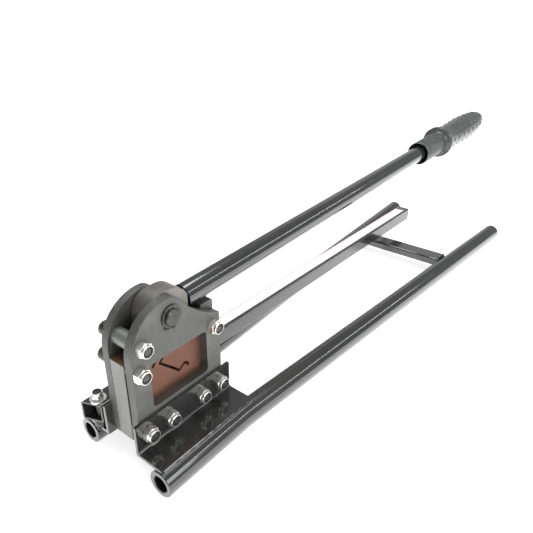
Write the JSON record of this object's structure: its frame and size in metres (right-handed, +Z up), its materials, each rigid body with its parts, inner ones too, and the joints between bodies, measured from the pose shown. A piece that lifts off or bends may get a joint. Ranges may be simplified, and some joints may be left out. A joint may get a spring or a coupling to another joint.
{
  "type": "manual lever profile shear",
  "caption": "Hand lever shear that cuts thin profile strip in a shaped die: a cam head with grip lever on a V-shaped tube base, with a ruler bar that swings out to set the length.",
  "frame": {"origin": "middle of the whole object with the lever down, on the surface it stands on", "axes": "+X along the lever from the head to the grip, +Y from the nut side of the head to the ruler bar side, +Z up"},
  "size_m": [0.8561, 0.2158, 0.2044],
  "materials": {
    "black_paint": "glossy black enamel",
    "phosphated_plate": "matt grey phosphate",
    "bare_steel": "machined, lightly oiled",
    "cam_steel": "dark heat-treated steel, light scuffs",
    "die_metal": "copper-brown, fine grain",
    "dark_steel": "black oxide",
    "bright_zinc": "bright zinc plate",
    "bush_bronze": "turned bronze",
    "spring_steel": "drawn wire",
    "grip_rubber": "moulded, raised dots",
    "tape_white": "printed steel tape, matt",
    "black_plastic": "moulded"
  },
  "bodies": {
    "frame": {"base_tube_near": "black_paint", "base_tube_far": "black_paint", "cross_bar": "black_paint", "bracket_near": "black_paint", "bracket_far": "black_paint", "rear_stop_block": "phosphated_plate", "side_plate_near": "phosphated_plate", "side_plate_far": "phosphated_plate", "front_guide_bar": "bare_steel", "guide_shims": "bare_steel", "spring_block": "bare_steel", "tie_spacer": "bare_steel", "fixed_die": "die_metal", "cam_pin": "dark_steel", "pin_clips": "dark_steel", "plate_bolts": "dark_steel", "bracket_bolts": "dark_steel", "ruler_pivot_bolt": "dark_steel", "ruler_pivot_spacer": "dark_steel", "lock_nuts": "bright_zinc", "ruler_pivot_nut": "bright_zinc", "ruler_pivot_washer": "bright_zinc", "die_spring_front": "spring_steel", "die_spring_rear": "spring_steel", "nut_inserts": "black_plastic"},
    "lever": {"cam": "cam_steel", "cam_bush": "bush_bronze", "lever_stud": "dark_steel", "lever_tube": "black_paint", "lever_grip": "grip_rubber"},
    "die": {"moving_die": "die_metal"},
    "ruler": {"ruler_bar": "black_paint", "ruler_end_plug": "black_plastic", "scale_tape": "tape_white"}
  },
  "joints": [
    {"name": "lever_swing", "type": "hinge", "parent": "frame", "child": "lever", "pos_m": [-0.36793, 0, 0.1456], "axis": [0, -1, 0], "range_deg": [0, 75]},
    {"name": "die_slide", "type": "slide", "parent": "frame", "child": "die", "axis": [0, 0, 1], "range_m": [0, 0.0101], "deforming": ["die_spring_front", "die_spring_rear"]},
    {"name": "ruler_swing", "type": "hinge", "parent": "frame", "child": "ruler", "pos_m": [-0.41613, 0.0342, 0.048], "axis": [0, 0, 1], "range_deg": [0, 90]}
  ],
  "couplings": [
    {"joint": "die_slide", "follows": "lever_swing", "m_per_rad": 0.0076394}
  ]
}
